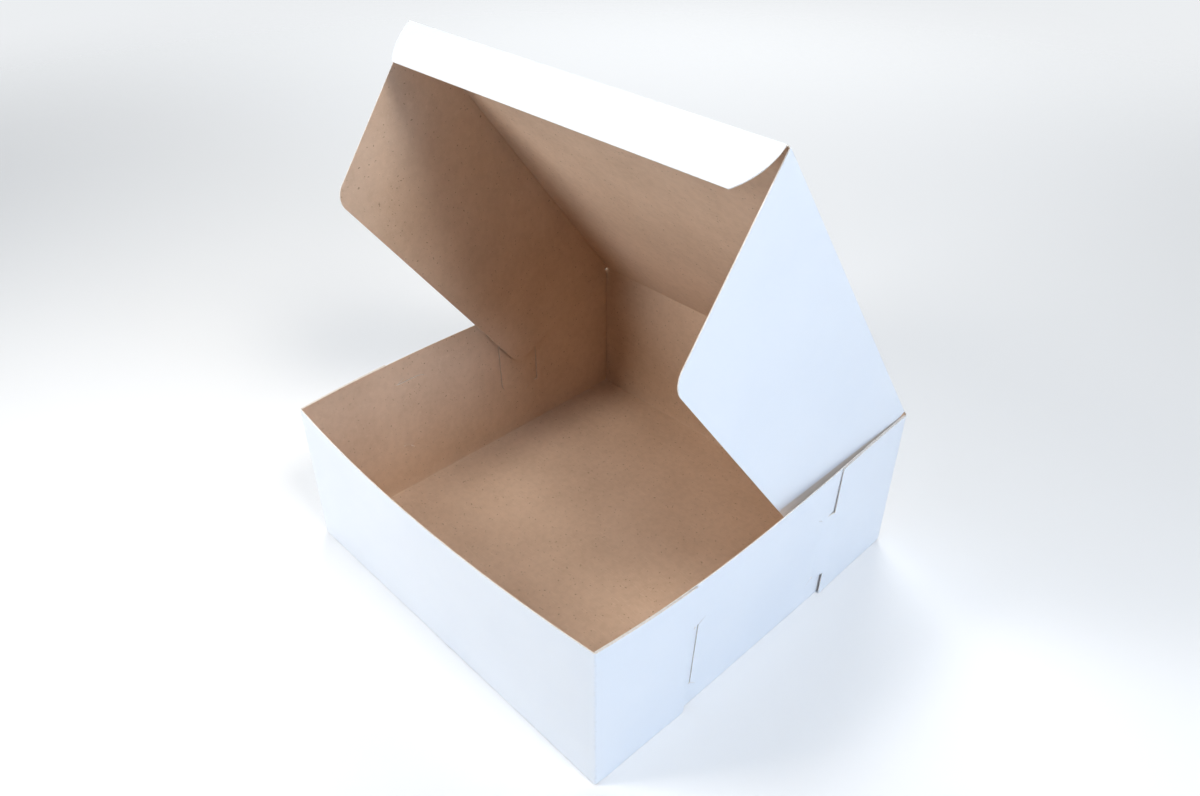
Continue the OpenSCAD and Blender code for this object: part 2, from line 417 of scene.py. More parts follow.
class Sheet:
    """A sheet of board while it is scored, cut and folded. Its normals face the white side."""

    def __init__(self, name: str, corner: Vector, across: Vector, up: Vector) -> None:
        """Lays out a plane at its size and place.

        Args:
            name: The piece's name.
            corner: One corner of the plane.
            across: Its first edge. The white side is towards across times up.
            up: Its second edge.
        """
        bpy.ops.object.select_all(action="DESELECT")
        bpy.ops.mesh.primitive_plane_add(size=1)
        self.obj = bpy.context.active_object
        self.obj.name = name
        white = across.cross(up).normalized()
        self.obj.matrix_world = Matrix((across, up, white)).transposed().to_4x4()
        self.obj.matrix_world.translation = corner + (across + up) / 2
        bpy.ops.object.transform_apply(location=True, rotation=True, scale=True)
        bpy.ops.object.mode_set(mode="EDIT")

    def pick(self, test: Test) -> None:
        """Selects points, with the edges and faces between them.

        Args:
            test: Which points.
        """
        bpy.ops.mesh.select_mode(type="VERT")
        bpy.ops.mesh.select_all(action="DESELECT")
        mesh = bmesh.from_edit_mesh(self.obj.data)
        for vert in mesh.verts:
            vert.select = test(vert.co)
        mesh.select_flush(True)
        bmesh.update_edit_mesh(self.obj.data)

    def pick_faces(self, test: Test) -> None:
        """Selects faces.

        Args:
            test: Which faces, by their middle.
        """
        bpy.ops.mesh.select_mode(type="FACE")
        bpy.ops.mesh.select_all(action="DESELECT")
        mesh = bmesh.from_edit_mesh(self.obj.data)
        for face in mesh.faces:
            face.select_set(test(face.calc_center_median()))
        bmesh.update_edit_mesh(self.obj.data)

    def score(self, direction: Vector, places: Iterable[float]) -> None:
        """Scores lines across the whole sheet, which stays in one piece.

        Args:
            direction: Unit vector square to the lines.
            places: Where the lines are along it.
        """
        for place in places:
            bpy.ops.mesh.select_all(action="SELECT")
            bpy.ops.mesh.bisect(plane_co=direction * place, plane_no=direction)

    def trim(self, point: Vector, outward: Vector, within: Test) -> None:
        """Cuts off what lies outward of a plane, on the faces whose middle passes a test."""
        self.pick_faces(within)
        bpy.ops.mesh.bisect(plane_co=point, plane_no=outward, clear_outer=True)

    def trim_round(
        self, centre: Vector, radius: float, first: Vector, last: Vector, within: Test
    ) -> None:
        """Cuts a corner to an arc.

        Args:
            centre: Middle of the arc.
            radius: Its radius.
            first: Unit vector from the centre to one end of the arc.
            last: Unit vector from the centre to its other end.
            within: Only faces whose middle passes this test are cut.
        """
        for i in range(ARC_STEPS + 1):
            outward = first.slerp(last, i / ARC_STEPS)
            self.trim(centre + outward * radius, outward, within)

    def pull(self, offsets: Iterable[Vector]) -> None:
        """Extrudes the selected edges by each offset in turn."""
        for offset in offsets:
            bpy.ops.mesh.extrude_region_move(TRANSFORM_OT_translate={"value": offset})

    def shift(self, test: Test, offset: Vector) -> None:
        """Moves the points that pass a test."""
        self.pick(test)
        bpy.ops.transform.translate(value=offset)

    def nudge(self, test: Test, move: Callable[[Vector], Vector]) -> None:
        """Moves points, each by its own amount.

        Args:
            test: Which points.
            move: How far a point goes.
        """
        mesh = bmesh.from_edit_mesh(self.obj.data)
        for vert in mesh.verts:
            if test(vert.co):
                vert.co += move(vert.co)
        bmesh.update_edit_mesh(self.obj.data)

    def roll(self, test: Test, centre: Vector, axis: Vector, steps: int) -> None:
        """Rolls a quarter-round fold from some edges, against the right hand about its axis."""
        self.pick(test)
        bpy.ops.mesh.spin(steps=steps, angle=math.pi / 2, center=centre, axis=axis)

    def punch(self, test: Test) -> None:
        """Deletes the faces whose middle passes a test."""
        self.pick_faces(test)
        bpy.ops.mesh.delete(type="FACE")

    def finish_cutting(self) -> bpy.types.Object:
        """Leaves edit mode with merged points.

        Returns:
            The sheet's object, still without thickness.
        """
        bpy.ops.mesh.select_mode(type="VERT")
        bpy.ops.mesh.select_all(action="SELECT")
        bpy.ops.mesh.remove_doubles(threshold=NEAR / 4)
        bpy.ops.object.mode_set(mode="OBJECT")
        return self.obj


@dataclass
class Shop:
    """Puts thickness, finishes and frame names on the sheets."""

    board: Board = field(default_factory=Board)
    finishes: list[bpy.types.Material] = field(init=False)

    def __post_init__(self) -> None:
        """Makes the three finishes in the order of Face."""
        self.finishes = [WhiteCoat().material(), KraftFace().material(), CutEdge().material()]

    def thicken(
        self, obj: bpy.types.Object, offset: float = 0.0, thickness: float | None = None
    ) -> None:
        """Gives a sheet its board thickness, with its three finishes.

        Args:
            obj: An open sheet whose normals face the white side.
            offset: 0 centres the board on the sheet, -1 puts it all inside.
            thickness: The thickness, where it isn't the board's own.
        """
        for finish in self.finishes:
            obj.data.materials.append(finish)
        solid = obj.modifiers.new("thickness", "SOLIDIFY")
        solid.thickness = thickness or self.board.thickness
        solid.offset = offset
        solid.use_even_offset = True
        solid.material_offset = Face.INSIDE.value
        solid.material_offset_rim = Face.CUT_EDGE.value
        self.apply(obj, solid)

    @staticmethod
    def apply(obj: bpy.types.Object, modifier: bpy.types.Modifier) -> None:
        """Applies one modifier of an object."""
        take_up(obj)
        bpy.ops.object.modifier_apply(modifier=modifier.name)

    @staticmethod
    def smooth(obj: bpy.types.Object) -> None:
        """Smooths the folds and leaves the cut edges sharp."""
        take_up(obj)
        bpy.ops.object.shade_smooth_by_angle(angle=SOFT_FOLD)

    @staticmethod
    def paint_rub_and_fold_shade(obj: bpy.types.Object, rub_and_fold_shade: Callable[[Vector], float]) -> None:
        """Paints how rubbed each face is, 0 to 1, by where its middle is; the kraft finish also darkens
        these faces as painted shade.
        """
        painted = obj.data.attributes.new("rubbed_and_fold_shade", "FLOAT", "FACE")
        painted.data.foreach_set("value", [rub_and_fold_shade(face.center) for face in obj.data.polygons])

    def fit(self, obj: bpy.types.Object, body: str, node: str) -> None:
        """Puts a piece on its body, in place of its node.

        Args:
            obj: The finished piece.
            body: The body it rides on.
            node: The node it stands for.
        """
        self.smooth(obj)
        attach(obj, body)
        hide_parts(node)
        log.info("%s: %d faces, rides on %s", obj.name, len(obj.data.polygons), body)


@dataclass
class Lock:
    """One locked corner: a tab, its tongue and the slit in the side wall. Sizes in metres.

    The settled share is the part of the settling that reaches the highest tongue's top. The hook
    shares are how far a slanting cut runs along, down and up, as parts of the hook's length.
    """

    side: Side
    end: End
    shoulder: float
    slit_gap: float
    tongue_low: float
    board: Board
    tongue_height: float = 49 * MM
    reach: float = 25 * MM
    tongue_round: float = 11 * MM
    spring: float = 1.2 * MM
    settle: float = 1.0 * MM
    settled_share: float = 0.83
    clear: float = 0.2 * MM
    kerf: float = 0.45 * MM
    lap: float = 1.0 * MM
    hook: float = 6 * MM
    hook_run: float = 0.8
    hook_fall: float = 0.77
    hook_climb: float = 0.5
    taper: float = 0.6

    def point(self, along: float, out: float, up: float) -> Vector:
        """A point at this corner, by its distances from the middle of the box and its height."""
        return Vector((self.side.value * out, self.end.value * along, up))

    @property
    def slope(self) -> float:
        """How steeply the tongue leans from its tab to its slit."""
        return (self.spring + self.board.thickness + self.board.layer) / self.slit_gap

    @property
    def slit(self) -> float:
        """Place of the slit along the side wall."""
        return self.shoulder - self.slit_gap

    @property
    def slit_near(self) -> float:
        """Edge of the slit that the slanting cuts start from."""
        return self.slit - (self.board.thickness + self.clear) / self.slope

    @property
    def slit_far(self) -> float:
        """Edge of the slit that the tongue slides in past, under its tab.

        Returns:
            Its place along the side wall.
        """
        least = self.spring - self.settle * self.settled_share
        lean = (least + 2 * self.board.thickness + 2 * self.board.layer) / (self.shoulder - self.inside)
        return self.inside + (2 * self.board.thickness + self.board.layer) / lean

    @property
    def low(self) -> float:
        """Height of the slit's foot, which the tongue's lower edge hides."""
        return self.tongue_low + self.lap

    @property
    def high(self) -> float:
        """Height of the slit's top and of the tongue's top."""
        return self.tongue_low + self.tongue_height

    @property
    def hook_end(self) -> float:
        """Place along the side wall where the slanting cuts end."""
        return self.slit_near - self.hook * self.hook_run

    @property
    def inside(self) -> float:
        """Place along the side wall where the tongue has come through."""
        return self.slit - (self.board.thickness + self.board.layer) / self.slope

    def places(self) -> list[float]:
        """Lines along the side wall that the slit needs."""
        return [self.hook_end, self.slit_near, self.slit_far]

    def rows(self) -> list[float]:
        """Heights on the side wall that the slit needs."""
        return [self.low, self.low + self.kerf, self.high - self.kerf, self.high]


@dataclass
class Tray:
    """The folded tray: floor, four walls, four tabs with tongues. Sizes in metres.

    Lines and rows are scores across the board, which let it bow and which the cuts follow.
    """

    shop: Shop
    half_width: float = 127 * MM
    half_length: float = 127 * MM
    height: float = 100 * MM
    front_bow: float = 7 * MM
    right_bow: float = 5 * MM
    left_bow: float = 4.5 * MM
    bow_lean: float = 0.6
    end_gap: float = 0.3 * MM
    tab_foot: float = 0.2 * MM
    tab_round: float = 2 * MM
    hinge_lap: float = 1.4 * MM
    front_shoulder: float = 63 * MM
    back_shoulder: float = 59 * MM
    front_slit_gap: float = 3.5 * MM
    back_slit_gap: float = 7.5 * MM
    right_tongue_low: float = 18.5 * MM
    left_tongue_low: float = 34 * MM
    before_slits: float = -64 * MM
    between_slits: tuple[float, float] = (-50 * MM, 40 * MM)
    behind_slits: float = 60 * MM
    cross_lines: int = 23
    end_lines: int = 7
    middle_lines: int = 11
    low_row: float = 8 * MM
    left_low_rows: tuple[float, ...] = (17 * MM, 25 * MM)
    slit_rows: int = 4
    right_high_rows: int = 3
    left_high_rows: int = 1
    end_rows: tuple[float, ...] = tuple(
        up * MM for up in (10, 18.5, 26, 34, 42, 50, 59, 67.5, 75, 83, 91.5, 100)
    )
    fold_steps: int = 4
    tab_steps: int = 9
    tongue_steps: int = 4
    cage_points: int = 25
    side_out: float = field(init=False)
    floor_x: float = field(init=False)
    floor_y: float = field(init=False)
    front_out: float = field(init=False)
    tab_out: float = field(init=False)
    tongue_out: float = field(init=False)
    locks: list[Lock] = field(init=False)

    def __post_init__(self) -> None:
        """Works out the lines of the sheet and the four locks."""
        board = self.shop.board
        self.side_out = self.half_width - board.thickness - board.layer - board.thickness / 2
        self.floor_x = self.side_out + board.thickness / 2 - board.fold
        self.floor_y = self.half_length - board.fold
        self.front_out = self.half_length - board.thickness / 2
        self.tab_out = self.half_width - board.thickness / 2
        self.tongue_out = self.side_out - board.thickness - board.layer
        shoulders = {End.FRONT: self.front_shoulder, End.BACK: self.back_shoulder}
        gaps = {End.FRONT: self.front_slit_gap, End.BACK: self.back_slit_gap}
        lows = {Side.RIGHT: self.right_tongue_low, Side.LEFT: self.left_tongue_low}
        self.locks = [
            Lock(side, end, shoulders[end], gaps[end], lows[side], board)
            for side in Side
            for end in End
        ]

    def build(self) -> bpy.types.Object:
        """Makes the tray.

        Returns:
            The finished piece.
        """
        sheet = self._score_floor()
        for side in Side:
            self._raise_side(sheet, side)
        for end in End:
            self._raise_end(sheet, end)
        for lock in self.locks:
            self._fold_tab(sheet, lock)
            self._cut_slit(sheet, lock)
        obj = sheet.finish_cutting()
        self._belly(obj)
        self.shop.thicken(obj)
        self.shop.paint_rub_and_fold_shade(obj, self._rub_and_fold_shade_at)
        return obj

    def _score_floor(self) -> Sheet:
        """Lays out the floor with the lines that the walls need.

        Returns:
            The sheet, white side down.
        """
        floor = Vector((-self.floor_x, -self.floor_y, self.shop.board.thickness / 2))
        sheet = Sheet("tray_board", floor, DEEP * 2 * self.floor_y, ACROSS * 2 * self.floor_x)
        sheet.score(ACROSS, spread(-self.floor_x, self.floor_x, self.cross_lines))
        lines = spread(-self.floor_y, self.before_slits, self.end_lines)
        lines += spread(*self.between_slits, self.middle_lines)
        lines += spread(self.behind_slits, self.floor_y, self.end_lines)
        for lock in self.locks:
            if lock.side is Side.LEFT:
                lines += [lock.end.value * place for place in lock.places()]
        sheet.score(DEEP, lines)
        return sheet

    def _raise_side(self, sheet: Sheet, side: Side) -> None:
        """Folds up a side wall.

        Args:
            sheet: The tray so far.
            side: Which wall.
        """
        sign = side.value
        centre = Vector((sign * self.floor_x, 0, self.shop.board.fold))

        def on_edge(c: Vector) -> bool:
            """Whether a point is on the floor's edge at this side."""
            return abs(c.x - sign * self.floor_x) < NEAR

        def on_wall(c: Vector) -> bool:
            """Whether a point is on the wall, or at the top of its fold."""
            return c.x * sign > self.side_out - NEAR

        sheet.roll(on_edge, centre, sign * DEEP, self.fold_steps)
        lock = next(found for found in self.locks if found.side is side)
        rows = [self.low_row, *lock.rows()]
        rows += spread(lock.low + lock.kerf, lock.high - lock.kerf, self.slit_rows)
        if side is Side.RIGHT:
            rows += spread(lock.high, self.height, self.right_high_rows)
        else:
            rows += [*self.left_low_rows, *spread(lock.high, self.height, self.left_high_rows)]
        sheet.pick(on_wall)
        self._climb(sheet, [*sorted(rows), self.height])
        for end in End:
            edge = end.value * self.floor_y
            sheet.pick(lambda c: on_wall(c) and abs(c.y - edge) < NEAR)
            sheet.pull([DEEP * end.value * self.end_gap])

    def _climb(self, sheet: Sheet, rows: Iterable[float]) -> None:
        """Extrudes the selected top of a fold upwards.

        Args:
            sheet: The tray so far.
            rows: The heights that it stops at.
        """
        last = self.shop.board.fold
        for row in rows:
            sheet.pull([UP * (row - last)])
            last = row

    def _raise_end(self, sheet: Sheet, end: End) -> None:
        """Folds up the front wall or the back wall.

        Args:
            sheet: The tray so far.
            end: Which wall.
        """
        sign, fold = end.value, self.shop.board.fold
        centre = Vector((0, sign * self.floor_y, fold))

        def on_edge(c: Vector) -> bool:
            """Whether a point is on the floor's edge at this end."""
            return abs(c.y - sign * self.floor_y) < NEAR and c.z < self.shop.board.thickness

        sheet.roll(on_edge, centre, -sign * ACROSS, self.fold_steps)
        sheet.pick(lambda c: c.y * sign > self.front_out - NEAR and abs(c.z - fold) < NEAR)
        self._climb(sheet, self.end_rows)
        if end is End.BACK:
            self._reach_hinge(sheet)

    def _reach_hinge(self, sheet: Sheet) -> None:
        """Takes the back wall up to the lid's crease, over its whole width.

        Args:
            sheet: The tray so far, with the back wall's top selected.
        """
        board = self.shop.board

        def on_rim(c: Vector) -> bool:
            """Whether a point is on the back wall's top."""
            return c.z > self.height - NEAR and c.y > self.front_out - NEAR

        sheet.pull([UP * (board.hinge_height - board.crease_edge - self.height)])
        for side in Side:
            edge = side.value * self.floor_x
            sheet.pick(lambda c: on_rim(c) and abs(c.x - edge) < NEAR)
            sheet.pull([ACROSS * side.value * self.hinge_lap])

    def _fold_tab(self, sheet: Sheet, lock: Lock) -> None:
        """Folds a tab round its corner and puts its tongue through the slit.

        Args:
            sheet: The tray so far.
            lock: Which corner.
        """
        side, end = lock.side.value, lock.end.value
        board = self.shop.board
        corner_x = self.half_width - board.fold

        def wall_end(c: Vector) -> bool:
            """Whether a point is on this end of the front or back wall."""
            on_wall = c.y * end > self.front_out - NEAR and abs(c.x - side * self.floor_x) < NEAR
            return on_wall and board.fold - NEAR < c.z < self.height + NEAR

        def at_corner(c: Vector) -> bool:
            """Whether a point is where the corner's fold starts."""
            return abs(c.x - side * corner_x) < NEAR and c.y * end > self.front_out - NEAR

        def on_tab(c: Vector) -> bool:
            """Whether a point is on the tab, past its fold."""
            return c.x * side > self.tab_out - NEAR and 0 < c.y * end < self.floor_y - NEAR

        def at_foot(c: Vector) -> bool:
            """Whether a point is on the tab's lowest row."""
            return on_tab(c) and c.z < self.end_rows[0]

        def at_top(c: Vector) -> bool:
            """Whether a point is on the tab's highest row."""
            return on_tab(c) and c.z > self.end_rows[-2]

        sheet.pick(wall_end)
        sheet.pull([ACROSS * side * (corner_x - self.floor_x)])
        centre = Vector((side * corner_x, end * self.floor_y, 0))
        sheet.roll(at_corner, centre, UP * side * end, self.fold_steps)
        sheet.pick(lambda c: c.x * side > self.tab_out - NEAR and abs(c.y - end * self.floor_y) < NEAR)
        along, out = self.floor_y, self.tab_out
        for i in range(1, self.tab_steps + 1):
            next_along = self.floor_y + (lock.shoulder - self.floor_y) * i / self.tab_steps
            next_out = self.tab_out + lock.spring * (i / self.tab_steps) ** 2
            sheet.pull([lock.point(next_along - along, next_out - out, 0)])
            along, out = next_along, next_out
        foot = UP * (self.tab_foot - board.fold)
        sheet.shift(lambda c: on_tab(c) and abs(c.z - board.fold) < NEAR, foot)
        low, high = self.tab_foot + self.tab_round, self.height - self.tab_round
        for up, turn, corner in ((low, -UP, at_foot), (high, UP, at_top)):
            middle = lock.point(lock.shoulder + self.tab_round, out, up)
            sheet.trim_round(middle, self.tab_round, -DEEP * end, turn, corner)
        self._thread_tongue(sheet, lock, out)
        self._settle_tab(sheet, lock)

    def _settle_tab(self, sheet: Sheet, lock: Lock) -> None:
        """Lets a tab lie close at the top, so that it stands off the wall at its foot only.

        Args:
            sheet: The tray so far.
            lock: Which corner.
        """
        side, end = lock.side.value, lock.end.value
        length = self.floor_y - lock.shoulder

        def on_tab(c: Vector) -> bool:
            """Whether a point is on the tab, with its free end."""
            past_fold = lock.shoulder - NEAR < c.y * end < self.floor_y
            return past_fold and c.x * side > self.tab_out - NEAR

        def settle(c: Vector) -> Vector:
            """How far a point of the tab moves."""
            share = (self.floor_y - c.y * end) / length
            return ACROSS * -side * lock.settle * share**2 * c.z / self.height

        sheet.nudge(on_tab, settle)

    def _thread_tongue(self, sheet: Sheet, lock: Lock, out: float) -> None:
        """Draws a tongue out of its tab, through the slit and along the inside of the wall.

        Args:
            sheet: The tray so far.
            lock: Which corner.
            out: Distance of the tab's free end from the middle of the box.
        """
        side, end = lock.side.value, lock.end.value

        def on_shoulder(c: Vector) -> bool:
            """Whether a point is on the free end of the tab, at the tongue."""
            at_end = abs(c.y * end - lock.shoulder) < NEAR and abs(c.x * side - out) < NEAR
            return at_end and lock.tongue_low - NEAR < c.z < lock.high + NEAR

        def on_tongue(c: Vector) -> bool:
            """Whether a point is on the tongue, inside the wall."""
            return abs(c.x * side - self.tongue_out) < NEAR and 0 < c.y * end < lock.inside

        sheet.pick(on_shoulder)
        sheet.pull([lock.point(lock.inside - lock.shoulder, self.tongue_out - out, 0)])
        sheet.pull([lock.point(-lock.reach / self.tongue_steps, 0, 0)] * self.tongue_steps)
        tip = lock.inside - lock.reach
        low, high = lock.tongue_low + lock.tongue_round, lock.high - lock.tongue_round
        for up, turn in ((low, -UP), (high, UP)):
            middle = lock.point(tip + lock.tongue_round, self.tongue_out, up)
            sheet.trim_round(middle, lock.tongue_round, -DEEP * end, turn, on_tongue)

    def _cut_slit(self, sheet: Sheet, lock: Lock) -> None:
        """Cuts the slit in a side wall, with a slanting cut at each end.

        Args:
            sheet: The tray so far.
            lock: Which corner.
        """
        side, end = lock.side.value, lock.end.value
        near, far = lock.slit_near, lock.slit_far

        def on_wall(c: Vector) -> bool:
            """Whether a point is on the side wall."""
            return abs(c.x * side - self.side_out) < NEAR

        def at_hook(c: Vector) -> bool:
            """Whether a point is on the line where the slanting cuts end."""
            return on_wall(c) and abs(c.y * end - lock.hook_end) < NEAR

        sheet.punch(lambda c: on_wall(c) and near < c.y * end < far and lock.low < c.z < lock.high)
        for row, rise in ((lock.low, -lock.hook_fall), (lock.high - lock.kerf, lock.hook_climb)):
            top, lift = row + lock.kerf, lock.hook * rise
            sheet.punch(lambda c: on_wall(c) and lock.hook_end < c.y * end < near and row < c.z < top)
            sheet.shift(lambda c: at_hook(c) and row - NEAR < c.z < top + NEAR, UP * lift)
            narrower = -UP * lock.kerf * lock.taper
            sheet.shift(lambda c: at_hook(c) and abs(c.z - top - lift) < NEAR, narrower)

    def _belly(self, obj: bpy.types.Object) -> None:
        """Bows the walls outward with a lattice, most at the middle of their top edges.

        Args:
            obj: The tray's sheet.
        """
        fold, span = self.shop.board.fold, self.floor_y
        depth = self.height - fold
        bpy.ops.object.add(type="LATTICE", location=(0, 0, fold + depth / 2))
        cage = bpy.context.active_object
        cage.scale = (2 * span, 2 * span, depth)
        lattice = cage.data
        lattice.points_u = lattice.points_v = self.cage_points
        lattice.points_w = 2
        for way in "uvw":
            setattr(lattice, f"interpolation_type_{way}", "KEY_LINEAR")
        for point in lattice.points:
            x, y, z = point.co * 2
            if z < 0:
                continue
            bow_x = self.right_bow * (1 + x) / 2 - self.left_bow * (1 - x) / 2
            bow_y = -self.front_bow * (1 - y) / 2
            side_share = (1 - y * y) * (1 - self.bow_lean * y)
            offset = Vector((bow_x * side_share, bow_y * (1 - x * x), 0)) / (2 * span)
            point.co_deform = point.co + offset
        bow = obj.modifiers.new("belly", "LATTICE")
        bow.object = cage
        self.shop.apply(obj, bow)
        bpy.data.objects.remove(cage)

    def _rub_and_fold_shade_at(self, place: Vector) -> float:
        """Wear and painted shade at a point of the tray: only the folds are rubbed, and their kraft side
        is darkened as painted shade.

        Args:
            place: The point.

        Returns:
            0 where the board is fresh, 1 on a fold, where the white side is rubbed and the kraft side
            gets painted shade.
        """
        fold = self.shop.board.fold
        past_side = abs(place.x) > self.floor_x
        past_end = abs(place.y) > self.floor_y
        at_floor = place.z < fold and (past_side or past_end)
        at_corner = past_end and abs(place.x) > self.half_width - fold
        return 1.0 if at_floor or at_corner else 0.0


@dataclass
class Crease:
    """A bent strip of board at a crease, between two panels.

    The path is the strip's middle, or its white face where the strip is an outer one.
    """

    name: str
    first_body: str
    second_body: str
    path: list[Vector]
    along: Vector
    outer: bool = False
    inner_share: float = 0.8
    lines: int = 19
    # How rubbed the strip is: wear on its white side, painted shade darkening its kraft side.
    rub_and_fold_shade: float = 0.7

    def build(self, shop: Shop, stand: Matrix) -> None:
        """Makes the strip, bent along its path, and puts it in place.

        Args:
            shop: Gives the thickness and the finishes.
            stand: Puts the path, and the strip with it, in place.
        """
        start, second = self.path[:2]
        sheet = Sheet(self.name, start - self.along / 2, self.along, second - start)
        way, half = self.along.normalized(), self.along.length / 2
        middle = start.dot(way)
        sheet.score(way, spread(middle - half, middle + half, self.lines))
        sheet.pick(lambda c: (c - second).cross(way).length < NEAR / 4)
        sheet.pull(b - a for a, b in zip(self.path[1:], self.path[2:]))
        obj = sheet.finish_cutting()
        if self.outer:
            shop.thicken(obj, -1.0, shop.board.thickness * self.inner_share)
        else:
            shop.thicken(obj)
        # Marks the whole strip as a fold: rubbed white side, painted shade on the kraft side.
        shop.paint_rub_and_fold_shade(obj, lambda c: self.rub_and_fold_shade)
        place_at(obj, stand)
        shop.smooth(obj)
        stand @ self.path[0]
        stand @ self.path[-1]
        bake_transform(obj)
        log.info("%s bends between %s and %s", obj.name, self.first_body, self.second_body)


@dataclass
class Lid:
    """The lid panel, its three flaps and the creases that join them. Sizes in metres."""

    shop: Shop
    open_angle: float = 53.6
    hinge_y: float = 126.7 * MM
    crease_x: float = 124.6 * MM
    tuck_u: float = 250.7 * MM
    flap_rear: float = 0.7 * MM
    hinge_half: float = 125.6 * MM
    flap_front: float = 249.6 * MM
    flap_depth: float = 98.0 * MM
    rear_slant: float = 16 * MM
    front_slant: float = 31 * MM
    flap_round: float = 12 * MM
    tuck_half: float = 123.8 * MM
    tuck_depth: float = 25.4 * MM
    tuck_inset: float = 10.4 * MM
    tuck_round: float = 32 * MM
    panel_lines: int = 19
    flap_lines: int = 23
    flap_rows: int = 9
    tuck_lines: int = 21
    tuck_rows: int = 5
    hinge_z: float = field(init=False)
    edge: float = field(init=False)
    stand: Matrix = field(init=False)

    def __post_init__(self) -> None:
        """Works out where the lid stands."""
        self.hinge_z = self.shop.board.hinge_height
        self.edge = self.shop.board.crease_edge
        turn = Matrix.Rotation(-math.radians(self.open_angle), 4, "X")
        self.stand = Matrix.Translation((0, self.hinge_y, self.hinge_z)) @ turn

    def _stand_up(self, sheet: Sheet) -> bpy.types.Object:
        """Gives a cut panel its thickness and puts it where the lid stands.

        Args:
            sheet: The panel, laid out with the lid closed.

        Returns:
            The finished piece.
        """
        obj = sheet.finish_cutting()
        self.shop.thicken(obj)
        place_at(obj, self.stand)
        return obj

    def panel(self) -> bpy.types.Object:
        """Makes the lid's top panel.

        Returns:
            The finished piece, white side up when the lid is closed.
        """
        front = self.tuck_u - self.edge
        corner = Vector((-self.crease_x, -front, 0))
        sheet = Sheet("lid_board", corner, ACROSS * 2 * self.crease_x, DEEP * (front - self.edge))
        sheet.score(ACROSS, spread(-self.crease_x, self.crease_x, self.panel_lines))
        sheet.score(DEEP, spread(-front, -self.edge, self.panel_lines))
        return self._stand_up(sheet)

    def side_flap(self, side: Side) -> bpy.types.Object:
        """Makes a side flap.

        Args:
            side: Which flap.

        Returns:
            The finished piece, white side outward.
        """
        out = self.crease_x + self.shop.board.thickness / 2
        corner = Vector((side.value * out, -self.tuck_u, -self.flap_depth))
        edges = [DEEP * self.tuck_u, UP * (self.flap_depth - self.edge)]
        if side is Side.LEFT:
            edges.reverse()
        sheet = Sheet(f"{side.name.lower()}_flap_board", corner, *edges)
        sheet.score(DEEP, spread(-self.tuck_u, 0, self.flap_lines))
        sheet.score(UP, spread(-self.flap_depth, -self.edge, self.flap_rows))
        cuts = ((self.flap_front, self.front_slant, -1), (self.flap_rear, -self.rear_slant, 1))
        for start, slant, way in cuts:
            top = Vector((0, -start, 0))
            run = Vector((0, -(start - slant), -self.flap_depth)) - top
            outward = Vector((0, way * -run.z, way * run.y)).normalized()
            sheet.trim(top, outward, everywhere)
            centre = self._corner_centre(start, slant, outward)
            sheet.trim_round(centre, self.flap_round, outward, -UP, lambda c: c.z < -self.flap_depth / 2)
        return self._stand_up(sheet)

    def _corner_centre(self, start: float, slant: float, outward: Vector) -> Vector:
        """Middle of the arc at a lower corner of a side flap.

        Args:
            start: Where the slanting edge starts at the crease, along the lid.
            slant: How far the edge draws in over the flap's depth.
            outward: Normal of the slanting edge, in the flap's plane.

        Returns:
            The point that is the corner's radius away from both edges.
        """
        up = -self.flap_depth + self.flap_round
        edge = -(start - slant * -up / self.flap_depth)
        return Vector((0, edge - self.flap_round / outward.y, up))

    def tuck_flap(self) -> bpy.types.Object:
        """Makes the tuck flap.

        Returns:
            The finished piece, white side to the front.
        """
        corner = Vector((-self.tuck_half, -self.tuck_u, -self.tuck_depth))
        drop = self.tuck_depth - self.edge
        sheet = Sheet("tuck_flap_board", corner, ACROSS * 2 * self.tuck_half, UP * drop)
        sheet.score(ACROSS, spread(-self.tuck_half, self.tuck_half, self.tuck_lines))
        sheet.score(UP, spread(-self.tuck_depth, -self.edge, self.tuck_rows))
        chord = math.hypot(self.tuck_inset, drop)
        sag = math.sqrt(self.tuck_round**2 - (chord / 2) ** 2)
        middle_x = self.tuck_half - self.tuck_inset / 2 - sag * drop / chord
        middle_z = -(self.edge + drop / 2 - sag * self.tuck_inset / chord)
        for side in Side:
            sign = side.value
            centre = Vector((sign * middle_x, 0, middle_z))
            top = Vector((sign * self.tuck_half, 0, -self.edge))
            low = Vector((sign * (self.tuck_half - self.tuck_inset), 0, -self.tuck_depth))
            first, last = ((point - centre).normalized() for point in (top, low))
            sheet.trim_round(centre, self.tuck_round, first, last, lambda c: c.x * sign > middle_x)
        return self._stand_up(sheet)

    def side_crease(self, side: Side) -> None:
        """Makes the fold between the lid and a side flap.

        Args:
            side: Which fold.
        """
        sign, half = side.value, self.shop.board.thickness / 2
        near, out = sign * self.crease_x, sign * (self.crease_x + 2 * half)
        bend = bezier(Vector((near, 0, half)), Vector((out, 0, half)), Vector((out, 0, -half)))
        middle = DEEP * -self.tuck_u / 2
        path = [middle + point for point in (*bend, Vector((out, 0, -self.edge)))]
        along = DEEP * -sign * (self.tuck_u - 2 * self.edge)
        name = side.name.lower()
        crease = Crease(f"{name}_crease", "lid", f"{name}_flap", path, along, True)
        crease.build(self.shop, self.stand)

    def tuck_crease(self) -> None:
        """Makes the fold between the lid and the tuck flap."""
        fold = Vector((0, -self.tuck_u, 0))
        path = bezier(fold + DEEP * self.edge, fold, fold - UP * self.edge)
        crease = Crease("tuck_crease", "lid", "tuck_flap", path, ACROSS * -2 * self.tuck_half)
        crease.build(self.shop, self.stand)

